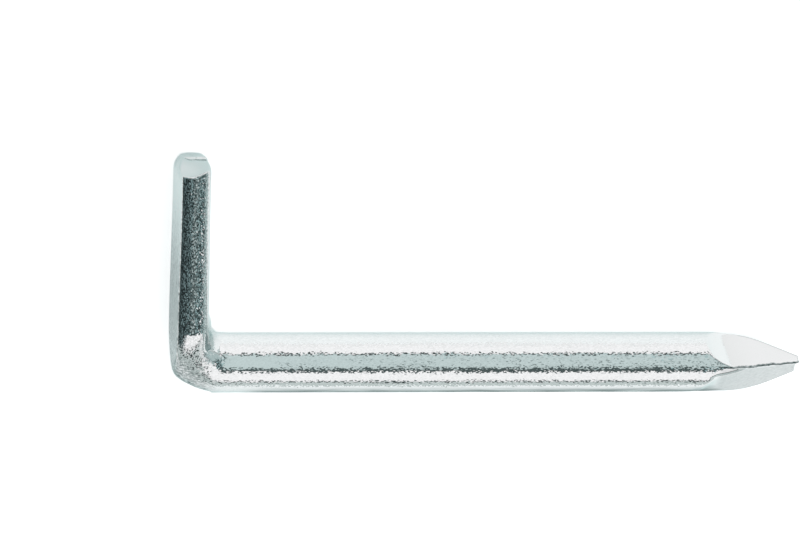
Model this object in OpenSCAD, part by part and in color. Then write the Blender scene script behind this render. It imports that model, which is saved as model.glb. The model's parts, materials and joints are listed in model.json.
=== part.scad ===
// Flat hook nail, made of one piece of round zinc-plated steel wire.
// One end is bent square and pressed flat into a hook plate, and the other end is pinched
// to a four-sided point.
// The nail is built in its own axes: X runs along the shank to the point, Y up the hook
// plate and Z across it, with the back of the plate at x = 0 and the shank's axis at
// y = z = 0. It is then laid down on its side, as it comes to rest.

/* [Wire] */
// Diameter of the round wire
wire_d = 3.8; // [3.4:0.1:4.2]
// Length from the back of the hook plate to the point
nail_length = 40; // [32:1:60]

/* [Hook plate] */
// Thickness of the plate between its two pressed flats
plate_thickness = 1.9; // [1.7:0.05:2.1]
// Full width of the plate, over its rounded edges
plate_width = 5.8; // [5.4:0.1:6.4]
// Share of the plate's width that is pressed flat
flat_share = 0.9; // [0.86:0.01:0.92]
// Height of the plate's free end above the shank's axis, at the middle of its thickness
plate_height = 12.85; // [10:0.05:16]
// How far the plate sits to one side of the shank's axis
plate_offset = 0.4; // [0:0.1:0.6]
// Slant of the sheared free end, which falls towards the back
end_slant = 17.5; // [5:0.5:22]
// Radius of the free end's corners, across the plate
end_corner_r = 0.35; // [0.2:0.05:0.6]
// Radius where the free end rolls over into the plate's back
end_roll_r = 0.75; // [0.5:0.05:0.9]

/* [Bend] */
// Radius of the wire's inner side in the bend
bend_inner_r = 0.65; // [0.5:0.05:1]
// Radius that the press leaves between the plate's front and the shank
press_fillet_r = 0.9; // [0.7:0.05:1.2]

/* [Point] */
// Slope of the point's four ridges against the shank's axis
ridge_slope = 21.5; // [16:0.5:28]
// Half height of the blunt tip
tip_half = 0.42; // [0.3:0.02:0.6]
// Turn of the pinched point about the shank's axis, its upper ridge going towards the plate
point_turn = 2.4; // [0:0.2:5]

/* [Hidden] */

ZINC = [0.82, 0.85, 0.85];
CURVE_STEPS = 48;
ARC_STEPS = 8;

wire_r = wire_d / 2;
plate_half = plate_thickness / 2;
plate_half_w = plate_width / 2;
// The bend's centre line is an arc about this point, from the shank up into the plate.
bend_r = wire_r + bend_inner_r;
bend_x = plate_half + bend_r;
// The plate's section is an oval cut off by the two flats: its half depth before that cut.
oval_half = plate_half / sqrt(1 - flat_share * flat_share);
// The bend's angle from which the press pushes the wire out towards that oval.
swell_angle = 30;

// The head's first ring is a little larger than the wire, so it meets the shank in a
// clean edge, and the ring before it lies sunk in the shank by this much.
head_r = wire_r * 1.006;
root_depth = 1;
root_share = 0.95;
// Height of the press's underside over the shank's top.
press_gap = 0.03;
// The roll at the free end meets the end face at this angle, and overshoots it a little.
roll_edge = 10;
roll_overshoot = 8;
// Room that the cutting outlines take past the metal.
spare = 2;

// Lying on its side, the nail touches the surface with the plate's lower edge and with
// the shank where its ridges begin.
ridge_start_x = nail_length - (wire_r - tip_half) / tan(ridge_slope);
edge_drop = plate_half_w - plate_offset - wire_r;
rest_tilt = atan(edge_drop / (ridge_start_x - plate_half));
rest_height = plate_half * sin(rest_tilt) + (plate_half_w - plate_offset) * cos(rest_tilt);
// The middle of the part as it lies, which is brought over the origin.
end_rise = plate_half * tan(end_slant);
back_x = (plate_offset - flat_share * plate_half_w) * sin(rest_tilt);
tip_x = nail_length * cos(rest_tilt) + tip_half * sin(rest_tilt);
mid_x = (back_x + tip_x) / 2;
mid_y = (plate_height + end_rise - head_r) / 2;

// Goes smoothly from 0 to 1 as t goes from 0 to 1.
function ease(t) = t <= 0 ? 0 : t >= 1 ? 1 : t * t * (3 - 2 * t);

// Points of an arc about a centre, from one angle to another.
function arc(centre, radius, from, to, steps) =
    [for (i = [0:steps]) let (a = from + (to - from) * i / steps)
        centre + radius * [cos(a), sin(a)]];

// A section of the bend, turned by the angle a about the bend's centre. It starts as the
// round wire, and spreads out sideways as the press flattens it.
function bend_ring(a) =
    let (spread = ease(a / 90),
         swell = ease((a - swell_angle) / (90 - swell_angle)),
         through = head_r + (oval_half - head_r) * swell,
         across = head_r + (plate_half_w - head_r) * spread)
    [for (i = [0:CURVE_STEPS - 1])
        let (t = 360 * i / CURVE_STEPS, out = bend_r + through * cos(t))
        [bend_x - out * sin(a), bend_r - out * cos(a), plate_offset * spread + across * sin(t)]];

// The round section sunk in the shank, which the head grows from.
function root_ring() =
    [for (i = [0:CURVE_STEPS - 1])
        let (t = 360 * i / CURVE_STEPS, radius = wire_r * root_share)
        [bend_x + root_depth, -radius * cos(t), radius * sin(t)]];

// A section near the plate's free end, on the slanted plane of the shear. The angle a
// goes from 0 to 90 around the end's corners.
function end_ring(a) =
    let (level = plate_height - end_corner_r * (1 - sin(a)),
         across = plate_half_w - end_corner_r * (1 - cos(a)))
    [for (i = [0:CURVE_STEPS - 1])
        let (t = 360 * i / CURVE_STEPS, out = oval_half * cos(t))
        [plate_half - out, level - out * tan(end_slant), plate_offset + across * sin(t)]];

// Two triangles for each cell between two neighbouring rings, and a face at each end.
function ring_faces(rings, n) =
    concat(
        [[for (i = [0:n - 1]) i]],
        [for (k = [0:rings - 2], i = [0:n - 1])
            let (a = k * n + i, b = k * n + (i + 1) % n)
            each [[a, a + n, b], [b, a + n, b + n]]],
        [[for (i = [n - 1:-1:0]) (rings - 1) * n + i]]);

// The wire after bending and spreading, before the flats: from inside the shank, around
// the bend and up to the free end.
module bent_wire() {
    bend_step = 5;
    corner_step = 22.5;
    rings = concat(
        [root_ring()],
        [for (a = [0:bend_step:90]) bend_ring(a)],
        [for (a = [0:corner_step:90]) end_ring(a)]);
    polyhedron(points = [for (ring = rings) each ring], faces = ring_faces(len(rings), CURVE_STEPS));
}

// What the press leaves of the head, seen from the side: the back's flat, the front's
// flat with its fillet down to the shank, and the roll at the free end.
module press_outline() {
    seat_y = wire_r + press_gap;
    fillet_centre = [plate_thickness + press_fillet_r, seat_y + press_fillet_r];
    roll_end = 90 + end_slant + roll_edge;
    roll_end_x = end_roll_r * (1 + cos(roll_end));
    back_top = plate_height - end_rise;
    roll_y = back_top + roll_end_x * tan(end_slant) - end_roll_r * sin(roll_end);
    roll = arc([end_roll_r, roll_y], end_roll_r, roll_end - roll_overshoot, 180, ARC_STEPS);
    top = plate_height + end_rise + spare;
    far_x = bend_x + root_depth + spare;
    polygon(concat(
        [[0, -wire_r - spare], [far_x, -wire_r - spare], [far_x, seat_y]],
        arc(fillet_centre, press_fillet_r, 270, 180, ARC_STEPS),
        [[plate_thickness, top], [roll[0][0], top]],
        roll));
}

// Bend and hook plate.
module head() {
    intersection() {
        bent_wire();
        translate([0, 0, plate_offset])
            linear_extrude(height = plate_width + 2 * spare, center = true)
                press_outline();
    }
}

// The gap between one pair of the point's closing jaws, seen along their edge. The jaws
// close on two opposite corners between the ridges.
module jaw_gap() {
    flat_slope = tan(ridge_slope) / sqrt(2);
    tip_gap = tip_half / sqrt(2);
    open_gap = wire_r + spare;
    jaw_x = nail_length - (open_gap - tip_gap) / flat_slope;
    linear_extrude(height = wire_d + 2 * spare, center = true)
        polygon([
            [0, -open_gap], [jaw_x, -open_gap], [nail_length, -tip_gap],
            [nail_length, tip_gap], [jaw_x, open_gap], [0, open_gap]]);
}

// Round shank, pinched by two pairs of jaws to four flats and four ridges.
module shank() {
    intersection() {
        translate([bend_x, 0, 0])
            rotate([0, 90, 0])
                cylinder(r = wire_r, h = nail_length - bend_x, $fn = 96);
        intersection_for(side = [-1, 1])
            rotate([side * 45 - point_turn, 0, 0])
                jaw_gap();
    }
}

// The nail as it lies on its side, with the plate's free end to +Y.
module nail() {
    color(ZINC)
        translate([-mid_x, -mid_y, rest_height])
            rotate([0, rest_tilt, 0])
                union() {
                    shank();
                    head();
                }
}

nail();
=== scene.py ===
"""A flat hook nail of zinc-plated steel wire, lying on a pale floor in soft studio light.

The nail is one piece of round wire. Its shank ends in a pinched four-sided point, and its
other end is bent square and pressed into a flat hook plate. Its surface is found here as
the zero of one signed field, worked out from the frame, and skinned with one closed mesh.
"""

import json
import logging
import math
from dataclasses import dataclass, field
from enum import Enum

import bpy
import numpy as np
from mathutils import Matrix, Vector


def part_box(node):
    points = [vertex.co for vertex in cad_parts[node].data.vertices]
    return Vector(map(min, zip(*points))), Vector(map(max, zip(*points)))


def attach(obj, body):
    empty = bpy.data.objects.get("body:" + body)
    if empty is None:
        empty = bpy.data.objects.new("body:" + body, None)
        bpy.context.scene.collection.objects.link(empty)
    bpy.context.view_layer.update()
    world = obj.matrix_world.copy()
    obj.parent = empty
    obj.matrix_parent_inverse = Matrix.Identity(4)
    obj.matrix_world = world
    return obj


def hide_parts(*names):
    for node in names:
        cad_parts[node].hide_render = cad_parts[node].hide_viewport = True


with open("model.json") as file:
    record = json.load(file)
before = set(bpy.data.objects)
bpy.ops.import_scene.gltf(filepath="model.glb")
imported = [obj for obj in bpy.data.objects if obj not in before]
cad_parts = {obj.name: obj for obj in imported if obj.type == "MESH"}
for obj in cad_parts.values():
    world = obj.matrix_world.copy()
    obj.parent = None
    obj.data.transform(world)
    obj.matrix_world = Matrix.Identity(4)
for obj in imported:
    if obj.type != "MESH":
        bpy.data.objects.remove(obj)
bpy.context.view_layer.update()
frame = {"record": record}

MM = 0.001
QUARTER = math.pi / 2
# The smallest edge or slope that is worked with, and a smaller one that keeps a division safe.
LEAST = 1e-3
TINY = 1e-6
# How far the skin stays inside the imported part's box, in millimetres.
SKIN_INSET = 0.02

# A place and the stretch over which something comes in or fades out, in millimetres or shares.
Fade = tuple[float, float]
# The size of one cell of a pattern along X, Y and Z.
Pitch = tuple[float, float, float]
# A linear colour.
Colour = tuple[float, float, float]
# The starts and the directions of some rays, as rows of three.
Rays = tuple[np.ndarray, np.ndarray]
Socket = bpy.types.NodeSocket

logger = logging.getLogger("hook_nail")


def ease(t: np.ndarray) -> np.ndarray:
    """Go smoothly from 0 to 1 as t does, and stay there on both sides."""
    t = np.clip(t, 0.0, 1.0)
    return t * t * (3.0 - 2.0 * t)


def rise(value: np.ndarray, start: float, over: float) -> np.ndarray:
    """Go smoothly from 0 at the start to 1 a stretch further on."""
    return ease((value - start) / over)


def fall(value: np.ndarray, stop: float, over: float) -> np.ndarray:
    """Go smoothly from 1, a stretch before the stop, to 0 at it."""
    return ease((stop - value) / over)


def mix(a: np.ndarray, b: np.ndarray, t: np.ndarray) -> np.ndarray:
    """Blend from a to b as t goes from 0 to 1."""
    return a + (b - a) * t


def round_cut(a: np.ndarray, b: np.ndarray, radius: np.ndarray) -> np.ndarray:
    """Keep what is inside both fields, with a rounded edge between them.

    Args:
        a: The first field, negative inside.
        b: The second field, negative inside.
        radius: The edge's radius, which may change from point to point.

    Returns:
        The field of the rounded common part.
    """
    edge = np.hypot(np.maximum(a + radius, 0.0), np.maximum(b + radius, 0.0))
    return np.minimum(np.maximum(a, b), -radius) + edge


def round_join(a: np.ndarray, b: np.ndarray, radius: np.ndarray) -> np.ndarray:
    """Join two fields, with a hollow fillet of that radius between them."""
    return -round_cut(-a, -b, radius)


def soft_cut(a: np.ndarray, b: np.ndarray, width: np.ndarray) -> np.ndarray:
    """Keep what is inside both fields, and ease one into the other.

    Args:
        a: The first field, negative inside.
        b: The second field, negative inside.
        width: How far apart the fields still blend, which may change from point to point.

    Returns:
        The field of the eased common part.
    """
    width = np.maximum(width, TINY)
    near = np.maximum(width - np.abs(a - b), 0.0) / width
    return np.maximum(a, b) + near * near * width / 4.0


class GradientNoise:
    """Smooth three-dimensional noise that is the same on every run."""

    SLOPES = 256

    def __init__(self, seed: int) -> None:
        """Draw the table of slopes.

        Args:
            seed: The seed of the table.
        """
        rng = np.random.default_rng(seed)
        self.order = rng.permutation(self.SLOPES)
        slopes = rng.normal(size=(self.SLOPES, 3))
        self.slopes = slopes / np.linalg.norm(slopes, axis=1, keepdims=True)

    def __call__(self, points: np.ndarray, pitch: Pitch) -> np.ndarray:
        """Sample the noise.

        Args:
            points: The places, an array of rows of three.
            pitch: The size of one cell of the noise along each axis.

        Returns:
            One value a place, mostly between -0.7 and 0.7.
        """
        scaled = points / np.asarray(pitch)
        cell = np.floor(scaled).astype(int)
        local = scaled - cell
        blend = local**3 * (local * (local * 6.0 - 15.0) + 10.0)
        total = np.zeros(len(points))
        for corner in np.ndindex(2, 2, 2):
            at = cell + corner
            key = 0
            for axis in (2, 1, 0):
                key = self.order[(at[:, axis] + key) % self.SLOPES]
            height = np.einsum("ij,ij->i", self.slopes[key], local - corner)
            share = np.prod(np.where(np.asarray(corner) == 1, blend, 1.0 - blend), axis=1)
            total += share * height
        return total


@dataclass(frozen=True)
class NailFrame:
    """The nail's own axes and main sizes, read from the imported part, in millimetres.

    The origin lies on the shank's axis at the back of the plate. X runs along the shank
    to the point, Y up the plate and Z across it.
    """

    origin: np.ndarray
    axes: np.ndarray
    wire_r: float
    length: float
    plate_t: float
    plate_half_w: float
    plate_shift: float
    plate_top: float

    @classmethod
    def read(cls, record: dict) -> "NailFrame":
        """Work the nail's axes and sizes out from the record's mounts and the CAD box.

        Args:
            record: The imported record.

        Returns:
            The nail's frame.
        """
        mounts = {mount["name"]: mount for mount in record["mounts"]}
        shank, front, back = (mounts[name] for name in ("shank", "hook_face", "strike_face"))
        along = np.array(shank["axis"]) / np.linalg.norm(shank["axis"])
        up = np.array([0.0, 1.0, 0.0])
        across = np.cross(along, up)
        on_axis, on_front, on_back = (np.array(m["pos_m"]) / MM for m in (shank, front, back))
        origin = on_axis + along * np.dot(on_back - on_axis, along)
        low, high = (np.array(corner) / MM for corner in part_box("nail"))
        low, high = low + SKIN_INSET, high - SKIN_INSET
        return cls(
            origin=origin,
            axes=np.array([along, up, across]),
            wire_r=shank["dims"]["r_mm"],
            length=(high[0] - origin[0]) / along[0],
            plate_t=float(np.dot(on_front - on_back, along)),
            plate_half_w=float((on_back[2] - low[2]) / across[2]),
            plate_shift=float(np.dot(on_back - origin, across)),
            plate_top=float(high[1] - origin[1]),
        )

    @property
    def plate_half_t(self) -> float:
        """Half the plate's thickness, a depth that is safely inside the metal."""
        return self.plate_t / 2

    def to_row(self, points: np.ndarray) -> np.ndarray:
        """Turn points in the nail's axes, in millimetres, into the row's frame, in metres."""
        return (self.origin + points @ self.axes) * MM

    def direction(self, vector: tuple[float, float, float]) -> Vector:
        """Turn a direction in the nail's axes into the row's frame."""
        return Vector(np.asarray(vector) @ self.axes)


@dataclass(frozen=True)
class BendShape:
    """How the wire spreads from the round shank, around the bend and up into the plate.

    Lengths are in millimetres, and angles go around the bend from 0 at the shank.
    """

    nail: NailFrame
    inner_r: float = 0.65
    flat_share: float = 0.9
    swell_from: float = math.radians(30.0)
    spread_from: float = math.radians(10.0)
    spread_to: float = math.radians(95.0)
    straight_from: float = 2.45
    heel: float = 0.2
    heel_at: float = math.radians(52.0)
    heel_half: float = math.radians(32.0)
    heel_fade: float = math.radians(15.0)
    core_share: float = 0.05

    @property
    def line_r(self) -> float:
        """Radius of the bend's centre line."""
        return self.nail.wire_r + self.inner_r

    @property
    def centre(self) -> tuple[float, float]:
        """The bend's centre, in X and Y."""
        return self.nail.plate_half_t + self.line_r, self.line_r

    @property
    def oval_half(self) -> float:
        """Half depth of the plate's oval section before the press flattens it."""
        return self.nail.plate_half_t / math.sqrt(1 - self.flat_share**2)

    def half_sizes(self, angle: np.ndarray) -> tuple[np.ndarray, np.ndarray, np.ndarray]:
        """Give a section's half depth, half width and side shift.

        Args:
            angle: The section's angle around the bend, 0 at the shank.

        Returns:
            The half depth, the half width and the shift across, in millimetres.
        """
        nail = self.nail
        over = self.spread_to - self.spread_from
        spread = rise(angle, self.spread_from, over) / rise(QUARTER, self.spread_from, over)
        swell = rise(angle, self.swell_from, QUARTER - self.swell_from)
        through = mix(nail.wire_r, self.oval_half, swell)
        across = mix(nail.wire_r, nail.plate_half_w, spread)
        return through, across, nail.plate_shift * spread

    def field(self, p: np.ndarray) -> np.ndarray:
        """Work out the bent and spread wire, before the press flattens it.

        Args:
            p: The places, in the nail's axes.

        Returns:
            The wire's field, which is nearly the distance to its surface.
        """
        centre_x, centre_y = self.centre
        back = centre_x - p[:, 0]
        down = centre_y - p[:, 1]
        angle = np.clip(np.arctan2(np.maximum(back, 0.0), down), 0.0, QUARTER)
        through, across, shift = self.half_sizes(angle)
        heel = self.heel * np.exp(-(((angle - self.heel_at) / self.heel_half) ** 2))
        heel = heel * ease(angle / self.heel_fade) * fall(angle, QUARTER, self.heel_fade)
        out = np.hypot(np.maximum(back, 0.0), np.maximum(down, 0.0)) - self.line_r
        through = through + heel * ease(out / through)
        side = p[:, 2] - shift
        reach = np.hypot(out / through, side / across)
        slope = np.maximum(np.hypot(out / through**2, side / across**2), LEAST)
        bent = np.where(reach < self.core_share, -self.nail.plate_half_t, reach * (reach - 1.0) / slope)
        straight = np.hypot(p[:, 1], p[:, 2]) - self.nail.wire_r
        return np.minimum(bent, np.maximum(straight, self.straight_from - p[:, 0]))


@dataclass(frozen=True)
class PressedFlats:
    """The back and front flats that the press leaves on the plate, and the web at its foot.

    The web ends in a sloping ledge over the shank. Its face and the crease under it get painted shade.
    """

    nail: NailFrame
    back_edge_r: float = 0.08
    heel_edge_r: float = 0.3
    heel_edge_top: float = 1.6
    front_edge_r: float = 0.3
    front_edge: Fade = (0.1, 0.4)
    front_crown: float = 0.23
    front_sink: float = 0.06
    taper: float = 0.06
    taper_from: float = 3.0
    taper_to: float = 11.0
    flare: float = 0.2
    flare_from: float = 2.9
    flare_to: float = 3.8
    flare_side: Fade = (1.0, 1.6)
    web_r: float = 1.22
    web_sink: float = 0.17
    web_end: float = 2.88
    gap: float = 0.02
    ledge_x: float = 2.0
    ledge_y: float = 1.46
    ledge_slope: float = math.radians(32.0)
    ledge_end_r: float = 0.12
    # Painted shade: slight on the web's face, stronger in the crease under the ledge.
    web_painted_shade: float = 0.04
    web_fade: float = 0.1
    crease_painted_shade: float = 0.6
    crease_drop: float = 0.02
    crease_half: float = 0.06
    crease_lead: float = 0.1
    crease_past: float = 0.05

    def faces(self, y: np.ndarray, side: np.ndarray) -> tuple[np.ndarray, np.ndarray]:
        """Give the places of the back and the front flat.

        Args:
            y: The height up the plate.
            side: The place across the plate, from its middle.

        Returns:
            How far the back and the front lie along the shank, at each place.
        """
        taper = rise(y, self.taper_from, self.taper_to - self.taper_from)
        flare = 1.0 - rise(y, self.flare_from, self.flare_to - self.flare_from)
        flare = flare * (1.0 - rise(np.abs(side), *self.flare_side))
        back = self.taper * taper
        crown = self.front_crown * (1.0 - (side / self.nail.plate_half_w) ** 2) - self.front_sink
        front = self.nail.plate_t + crown + self.taper * (1.0 - taper) + self.flare * flare
        return back, front

    def over_ledge(self, x: np.ndarray, y: np.ndarray) -> np.ndarray:
        """Give how far places lie over the ledge's sloping face."""
        slope = self.ledge_slope
        return (y - self.ledge_y + (x - self.ledge_x) * math.tan(slope)) * math.cos(slope)

    def cut(self, metal: np.ndarray, p: np.ndarray) -> np.ndarray:
        """Press the flats into the bent wire.

        Args:
            metal: The field of the bent wire.
            p: The places.

        Returns:
            The field with the back flat, the front flat, and the web that the press's
            rounded edge leaves around the shank.
        """
        x, y, z = p.T
        back, front = self.faces(y, z - self.nail.plate_shift)
        shank = np.hypot(y, z) - self.nail.wire_r + self.web_sink
        press = round_join(x - front, shank, self.web_r)
        press = np.minimum(press, round_cut(self.over_ledge(x, y), x - self.web_end, self.ledge_end_r))
        press = np.minimum(press, np.maximum(self.web_end - x, shank - self.web_sink - self.gap))
        edge = LEAST + self.front_edge_r * (1.0 - rise(x - self.nail.plate_t, *self.front_edge))
        metal = round_cut(metal, press, edge)
        back_edge = mix(self.heel_edge_r, self.back_edge_r, ease(y / self.heel_edge_top))
        return round_cut(metal, back - x, back_edge)

    def dull(self, p: np.ndarray) -> np.ndarray:
        """Give the painted shade on the web's face and in the crease under it.

        Args:
            p: The places.

        Returns:
            One value a place, from 0 to 1.
        """
        x, y, _ = p.T
        over = self.over_ledge(x, y)
        along = rise(x, self.ledge_x - self.crease_lead, 2.0 * self.crease_lead)
        along = along * fall(x, self.web_end + self.crease_past, 2.0 * self.crease_past)
        # Painted shade, slight on the web's face and darker in the crease under the ledge.
        web = self.web_painted_shade * ease(over / self.web_fade)
        crease = self.crease_painted_shade * ease(1.0 - np.abs(over + self.crease_drop) / self.crease_half)
        return along * np.maximum(web, crease)


@dataclass(frozen=True)
class ShearedEnd:
    """The plate's free end, sheared askew and rolled over towards the back."""

    nail: NailFrame
    crown: float = 0.04
    near_drop: float = 0.5
    near_from: float = -0.9
    near_to: float = 3.2
    rise_from: float = 0.35
    rise_to: float = 1.85
    far_from: float = -1.0
    far_slant: float = math.radians(3.0)
    far_side: Fade = (-1.5, 3.0)
    face_slope: float = 0.94
    edge_r: float = 0.09
    front_r: float = 0.1
    corner_r: float = 0.05
    corner_share: float = 0.65
    roll_r: float = 0.8
    roll_share: float = 0.6
    seam_drop: float = 0.12
    seam_width: float = 0.14
    seam_rise: float = 0.6

    @property
    def top(self) -> float:
        """Height of the end face at its highest, over the plate's front."""
        return self.nail.plate_top - self.crown

    def level(self, x: np.ndarray, side: np.ndarray) -> np.ndarray:
        """Height of the end face.

        Args:
            x: The place through the plate, from its back.
            side: The place across the plate, from its middle.

        Returns:
            The height at each place.
        """
        near = rise(side, self.near_from, self.near_to - self.near_from)
        sunk = 1.0 - rise(x, self.rise_from, self.rise_to - self.rise_from)
        far = math.tan(self.far_slant) * np.maximum(self.far_from - side, 0.0)
        seam = self.seam_drop * rise(side, self.far_from, self.seam_width)
        seam = seam * rise(x, self.rise_from, self.seam_rise)
        return self.top - self.near_drop * near * sunk - far - seam

    def cut(self, metal: np.ndarray, p: np.ndarray) -> np.ndarray:
        """Shear the end off, with its rolled back edge and its rounded corners.

        Args:
            metal: The field of the pressed plate.
            p: The places.

        Returns:
            The field with the free end.
        """
        nail = self.nail
        x, y, z = p.T
        side = z - nail.plate_shift
        face = (y - self.level(x, side)) * self.face_slope
        far = 1.0 - rise(side, *self.far_side)
        roll_to = self.roll_share * nail.plate_t
        roll = ease(1.0 - x / roll_to) * far
        front = rise(x, roll_to, nail.plate_t - roll_to)
        corner_from = self.corner_share * nail.plate_half_w
        corner = rise(np.abs(side), corner_from, nail.plate_half_w - corner_from) * far
        radius = self.edge_r + self.roll_r * roll + self.corner_r * corner + self.front_r * front
        return round_cut(metal, face, radius)


@dataclass(frozen=True)
class PinchedPoint:
    """The four-sided point, pinched by two pairs of jaws that leave a thin burr between.

    Distances back from the tip are positive. A Pitch that is long across the nail gives
    noise that hardly changes but along it.
    """

    nail: NailFrame
    # The ridges, the burr's edge and how both run out into the shank.
    ridge_slope: float = math.radians(21.5)
    tip_half: float = 0.42
    lower_extra: float = 0.15
    thinnest: float = 0.05
    burr_tip: float = 0.34
    upper_burr_slope: float = 0.346
    lower_burr_slope: float = 0.42
    turn: float = math.radians(2.4)
    ridge_round: float = 0.04
    ridge_ease: float = 0.6
    lower_ridge_rise: float = 0.04
    lower_rise_over: float = 1.5
    upper_ridge_rise: float = 0.4
    upper_rise_from: float = 5.0
    hollow_from: float = 4.6
    hollow: float = 0.2
    upper_run_out: float = 5.7
    lower_run_out: float = 5.3
    run_out: float = 1.6
    # The burr along the jaws' parting line.
    burr_height: float = 0.05
    burr_half: float = 0.03
    burr_ragged: float = 1.2
    burr_wander: float = 0.16
    burr_jitter: float = 0.35
    ragged_pitch: Pitch = (0.35, 9.0, 9.0)
    wander_pitch: Pitch = (0.75, 9.0, 9.0)
    wander_shift: float = 40.0
    jitter_pitch: Pitch = (0.17, 9.0, 9.0)
    jitter_shift: float = 80.0
    # How the lower facets ease in, and the step and the edge at the tip.
    lower_lead: float = 0.3
    lead_side: Fade = (0.02, 0.1)
    lead_low: Fade = (0.7, 0.4)
    lead_low_share: float = 0.2
    lower_step: float = 0.25
    step_side: Fade = (0.02, 0.08)
    tip_edge_r: float = 0.06
    # How far back the point reaches, and its field's value in the metal behind that.
    reach: float = 8.0
    inside: float = -1.0
    # The painted shade along the burr, the arcs and the ridges.
    patch_pitch: Pitch = (0.25, 9.0, 9.0)
    patch_mean: float = 0.8
    patch_gain: float = 0.7
    burr_back: Fade = (5.3, 0.3)
    burr_fade: float = 0.05
    burr_side: float = 0.2
    arc_half: float = 0.05
    arc_depth: float = 0.04
    arc_height: Fade = (0.8, 0.3)
    arc_back: Fade = (6.0, 0.2)
    upper_arc_painted_shade: float = 0.7
    lower_arc_painted_shade: float = 0.3
    ridge_painted_shade: float = 0.35
    ridge_half: float = 0.14
    ridge_back: Fade = (4.4, 0.6)
    noise: GradientNoise = field(default_factory=lambda: GradientNoise(11))

    def turned(self, p: np.ndarray) -> tuple[np.ndarray, np.ndarray]:
        """Give the places up and across along the turned point's axes."""
        cosine, sine = math.cos(self.turn), math.sin(self.turn)
        return p[:, 1] * cosine - p[:, 2] * sine, p[:, 2] * cosine + p[:, 1] * sine

    def facets(self, p: np.ndarray) -> np.ndarray:
        """Work out the four facets with the burr between them.

        Args:
            p: The places.

        Returns:
            The facets' field.
        """
        y, z = self.turned(p)
        back = self.nail.length - p[:, 0]
        upper = y > 0.0
        tip = self.tip_half + np.where(upper, 0.0, self.lower_extra)
        ridge = tip + back * math.tan(self.ridge_slope)
        upper_rise = self.upper_ridge_rise * np.maximum(back - self.upper_rise_from, 0.0) ** 2
        lower_rise = self.lower_ridge_rise * rise(back, self.lower_run_out, self.lower_rise_over)
        cap = self.nail.wire_r + np.where(upper, upper_rise, lower_rise)
        ridge = np.maximum(-soft_cut(-ridge, -cap, self.ridge_ease), self.thinnest)
        burr = self.burr_tip + back * np.where(upper, self.upper_burr_slope, self.lower_burr_slope)
        hollow = np.where(upper, self.hollow * np.maximum(back - self.hollow_from, 0.0) ** 2, 0.0)
        run_out = np.maximum(back - np.where(upper, self.upper_run_out, self.lower_run_out), 0.0)
        burr = np.maximum(burr + hollow + self.run_out * run_out**2, self.thinnest)
        steep = np.sqrt(1.0 / ridge**2 + 1.0 / burr**2 + (math.tan(self.ridge_slope) / ridge) ** 2)
        facets = (np.abs(y) / ridge + np.hypot(z, self.ridge_round) / burr - 1.0) / steep
        ragged = 1.0 + self.burr_ragged * self.noise(p, self.ragged_pitch)
        fin_side = np.abs(z) - burr - self.burr_height * ragged
        fin = np.maximum(np.abs(y - self.wander(p)) - self.burr_half, fin_side)
        return np.where(back > self.reach, self.inside, np.minimum(facets, fin))

    def wander(self, p: np.ndarray) -> np.ndarray:
        """Give how far the burr wanders up or down from the jaws' parting line."""
        jitter = self.burr_jitter * self.noise(p + self.jitter_shift, self.jitter_pitch)
        return self.burr_wander * (self.noise(p + self.wander_shift, self.wander_pitch) + jitter)

    def cut(self, metal: np.ndarray, p: np.ndarray) -> np.ndarray:
        """Pinch the shank to a point.

        Args:
            metal: The field of the shank.
            p: The places.

        Returns:
            The field with the four facets, the burr and the blunt tip.
        """
        y, _ = self.turned(p)
        lead = self.lower_lead * rise(-y, *self.lead_side)
        lead = lead * mix(1.0, self.lead_low_share, rise(-y, *self.lead_low))
        metal = soft_cut(metal, self.facets(p), lead)
        step = self.lower_step * rise(-y, *self.step_side)
        return round_cut(metal, p[:, 0] - self.nail.length + step, self.tip_edge_r)

    def dull(self, p: np.ndarray) -> np.ndarray:
        """Give the painted shade along the burr, the ridges and the arcs where the jaws bit in.

        Args:
            p: The places.

        Returns:
            One value a place, from 0 to 1.
        """
        y, z = self.turned(p)
        back = self.nail.length - p[:, 0]
        rim = np.hypot(p[:, 1], p[:, 2]) - self.nail.wire_r
        patchy = self.patch_mean + self.patch_gain * self.noise(p, self.patch_pitch)
        aside = np.abs(y - self.wander(p)) - self.burr_half
        burr = fall(back, *self.burr_back) * ease(1.0 - aside / self.burr_fade)
        bite = ease(1.0 - np.abs(rim) / self.arc_depth)
        arcs = bite * ease(1.0 - np.abs(self.facets(p)) / self.arc_half)
        arcs = arcs * fall(np.abs(y), *self.arc_height) * fall(back, *self.arc_back)
        arcs = arcs * np.where(y > 0.0, self.upper_arc_painted_shade, self.lower_arc_painted_shade)
        ridges = ease(1.0 - np.abs(z) / self.ridge_half) * fall(back, *self.ridge_back)
        burr = burr * ease(np.abs(z) / self.burr_side)
        # Painted shade: dark lines along the burr, the arcs and the ridges, patchy on the burr and the
        # arcs.
        return np.max([patchy * burr, patchy * arcs, self.ridge_painted_shade * ridges], axis=0)


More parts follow.
